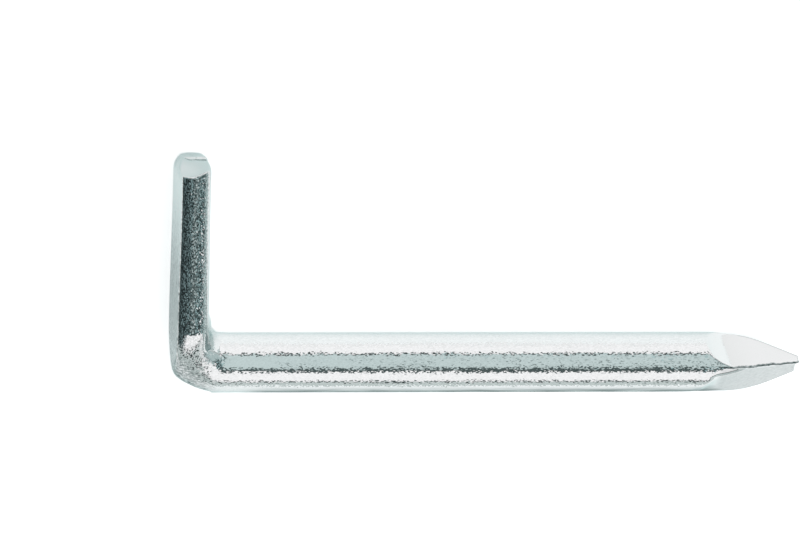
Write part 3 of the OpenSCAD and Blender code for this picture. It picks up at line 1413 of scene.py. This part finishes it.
@dataclass(frozen=True)
class SoftRoom:
    """The room around the nail: long soft boxes, dark flags between them and a pale skirt.

    Stops around the shank are in degrees from the camera's own direction, upwards. Those
    along the shank run from -1, behind the plate, to 1, beyond the point.
    """

    pitch: float
    # The bands around the shank, some of them lit only over its middle, and the end walls.
    around_stops: tuple[tuple[float, Tone], ...] = (
        (-102, Tone.SOFTBOX), (-39.2, Tone.SOFTBOX), (-37.7, Tone.FLAG), (-23.4, Tone.FLAG),
        (-22.4, Tone.CEILING), (29, Tone.CEILING), (30, Tone.GAP), (34.4, Tone.GAP),
        (35.4, Tone.SOFTBOX), (60, Tone.SOFTBOX), (76, Tone.SOFTBOX_EDGE))
    short_tones: tuple[Tone, ...] = (Tone.CEILING, Tone.FLAG)
    along_stops: tuple[tuple[float, Tone], ...] = (
        (-0.6, Tone.LEFT_ROOM), (0.2, Tone.MIDDLE_ROOM), (0.65, Tone.RIGHT_ROOM))
    narrow: tuple[float, ...] = (-0.08, 0.05, 0.22, 0.34)
    wide: tuple[float, ...] = (-0.45, -0.2, 0.62, 0.8)
    # The upright panels before the end walls.
    panel_pitch: float = math.radians(9.0)
    panel_edge: tuple[float, float] = (0.3, 0.75)
    panel_dark: float = 0.2
    panel_light: float = 2.4
    back_wall: tuple[float, float] = (0.0, 0.4)
    back_wall_shift: float = 0.6
    right_wall: tuple[float, float] = (0.74, 0.84)
    # The pale skirt over the floor and the dark gap above it.
    skirt_top: float = 0.325
    ring_from: float = 0.345
    ring_to: float = 0.435
    ring_edge: float = 0.02
    ring_x: tuple[float, float] = (0.7, 0.5)
    ring_y: tuple[float, float] = (0.2, 0.0)

    def bands(self) -> list[tuple[float, Colour, float]]:
        """Lay out the stops around the shank.

        Returns:
            The ramp's stops. Where the alpha is 0, the band is lit only near the middle.
        """
        tilt = math.degrees(self.pitch) + 90.0
        return [((angle + tilt) / 180.0, tone.value, 0.0 if tone in self.short_tones else 1.0)
                for angle, tone in self.around_stops]

    def walls(self, graph: Graph, x: Socket, y: Socket, z: Socket) -> Socket:
        """Build the walls at the shank's two ends, with upright panels up to the right wall.

        Args:
            graph: The world's graph.
            x: How far a direction points along the row's X.
            y: How far it points along Y.
            z: How far it points up.

        Returns:
            The walls' colour.
        """
        behind = graph.span(y, *self.back_wall, 0.0, self.back_wall_shift)
        along = graph.span(graph.math("ADD", x, behind), -1.0, 1.0, curve="LINEAR")
        stops = [((place + 1.0) / 2.0, tone.value, 1.0) for place, tone in self.along_stops]
        wave = graph.math("MULTIPLY", graph.math("ARCTAN2", x, z), 2.0 * math.pi / self.panel_pitch)
        wave = graph.math("SINE", wave)
        level = graph.span(wave, *self.panel_edge, self.panel_dark, self.panel_light)
        panelled = graph.add("VectorMath", operation="SCALE")
        graph.feed(panelled.inputs[0], graph.ramp(along, stops).outputs["Color"])
        graph.feed(panelled.inputs["Scale"], level)
        walled = graph.span(x, *self.right_wall)
        return graph.blend(walled, panelled.outputs[0], (*Tone.RIGHT_WALL.value, 1.0))

    def ring(self, graph: Graph, x: Socket, y: Socket, z: Socket) -> Socket:
        """Find the low ring around the room, except at its right and its far side.

        Args:
            graph: The world's graph.
            x: How far a direction points along the row's X.
            y: How far it points along Y.
            z: How far it points up.

        Returns:
            A value that is 1 on the ring and 0 elsewhere.
        """
        ring = graph.span(z, self.ring_to, self.ring_to - self.ring_edge)
        ring = graph.math("MULTIPLY", ring, graph.span(y, *self.ring_y))
        return graph.math("MULTIPLY", ring, graph.span(x, *self.ring_x))

    def world(self) -> bpy.types.World:
        """Build the room and light the scene with it.

        Returns:
            The world.
        """
        world = bpy.data.worlds.new("soft_room")
        world.use_nodes = True
        graph = Graph(world.node_tree)
        way = graph.add("SeparateXYZ")
        graph.feed(way.inputs[0], graph.add("TexCoord").outputs["Generated"])
        x, y, z = (way.outputs[axis] for axis in "XYZ")
        around = graph.span(graph.math("ARCTAN2", y, z), -QUARTER, QUARTER, curve="LINEAR")
        around = graph.ramp(around, self.bands())
        near, far = (self.window(graph, x, reach) for reach in (self.narrow, self.wide))
        lit = graph.math("MULTIPLY", around.outputs["Alpha"], graph.math("SUBTRACT", far, near))
        lit = graph.math("ADD", lit, near)
        colour = graph.blend(lit, self.walls(graph, x, y, z), around.outputs["Color"])
        gap = graph.span(z, self.skirt_top, self.ring_from)
        low = graph.blend(gap, (*Tone.SKIRT.value, 1.0), (*Tone.GAP.value, 1.0))
        colour = graph.blend(self.ring(graph, x, y, z), colour, low)
        graph.feed(graph.nodes["Background"].inputs["Color"], colour)
        bpy.context.scene.world = world
        return world

    @staticmethod
    def window(graph: Graph, x: Socket, reach: tuple[float, ...]) -> Socket:
        """Make a value that is 1 in a middle stretch of x and 0 outside it."""
        opens, full, dims, shut = reach
        return graph.math("MULTIPLY", graph.span(x, opens, full), graph.span(x, shut, dims))


@dataclass(frozen=True)
class Studio:
    """The floor, the soft light around the nail and the camera above it."""

    nail: NailFrame
    pitch: float = math.radians(12.9)
    yaw: float = math.radians(7.9)
    lens: float = 350.0
    sensor: float = 36.0
    frame_width: float = 50.3
    aim: tuple[float, float] = (14.31, 5.74)
    lamp_power: float = 1.3
    lamp_size: float = 0.35
    lamp_place: tuple[float, float, float] = (0.0, 0.02, 0.65)
    clip: tuple[float, float] = (0.01, 20.0)

    def view_axes(self) -> tuple[Vector, Vector, Vector]:
        """Work out the camera's directions.

        Returns:
            Its right, up and backward directions, in the row's frame.
        """
        back = self.nail.direction((
            -math.sin(self.yaw) * math.cos(self.pitch),
            math.sin(self.pitch),
            math.cos(self.yaw) * math.cos(self.pitch)))
        shank = self.nail.direction((1.0, 0.0, 0.0))
        right = (shank - back * shank.dot(back)).normalized()
        return right, back.cross(right), back

    def camera(self) -> bpy.types.Object:
        """Set the camera above the nail, with the shank level in its view.

        Returns:
            The camera.
        """
        data = bpy.data.cameras.new("camera")
        data.lens = self.lens
        data.sensor_width = self.sensor
        data.clip_start, data.clip_end = self.clip
        right, up, back = self.view_axes()
        distance = self.frame_width * MM * self.lens / self.sensor
        middle = Vector(self.nail.to_row(np.array([self.aim[0], self.aim[1], 0.0])))
        turn = Matrix((right, up, back)).transposed().to_4x4()
        camera = bpy.data.objects.new("camera", data)
        camera.matrix_world = Matrix.Translation(middle + back * distance) @ turn
        bpy.context.scene.collection.objects.link(camera)
        bpy.context.scene.camera = camera
        return camera

    def overhead(self) -> bpy.types.Object:
        """Hang a soft lamp high over the floor, out of the metal's reflections.

        Returns:
            The lamp.
        """
        data = bpy.data.lights.new("overhead", "AREA")
        data.shape = "DISK"
        data.size = self.lamp_size
        data.energy = self.lamp_power
        lamp = bpy.data.objects.new("overhead", data)
        lamp.location = self.lamp_place
        lamp.visible_glossy = False
        lamp.visible_camera = False
        bpy.context.scene.collection.objects.link(lamp)
        return lamp

    def build(self) -> None:
        """Set up the floor, the room, the lamp and the camera."""
        PaleFloor().build()
        SoftRoom(self.pitch).world()
        self.overhead()
        self.camera()


def main() -> None:
    """Build the nail, its finish and the studio, and report each piece."""
    logging.basicConfig(level=logging.INFO, format="%(name)s: %(message)s")
    nail = NailFrame.read(frame["record"])
    logger.info("wire radius %.2f, length %.2f, plate %.2f x %.2f mm",
                nail.wire_r, nail.length, nail.plate_t, 2 * nail.plate_half_w)
    bend, flats, point = BendShape(nail), PressedFlats(nail), PinchedPoint(nail)
    wear = PlatingWear(nail, bend, flats, point)
    skin = NailSkin(nail, bend, flats, ShearedEnd(nail), point, WireMarks(nail), wear)
    finish = ZincFinish()
    piece = skin.build()
    piece.data.materials.append(finish.material())
    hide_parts("nail")
    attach(piece, "root")
    logger.info("hook nail: %d faces", len(piece.data.polygons))
    Studio(nail).build()
    logger.info("studio: floor, soft room, lamp and camera")
    bpy.context.scene.view_settings.view_transform = "Standard"


if __name__ == "__main__":
    main()
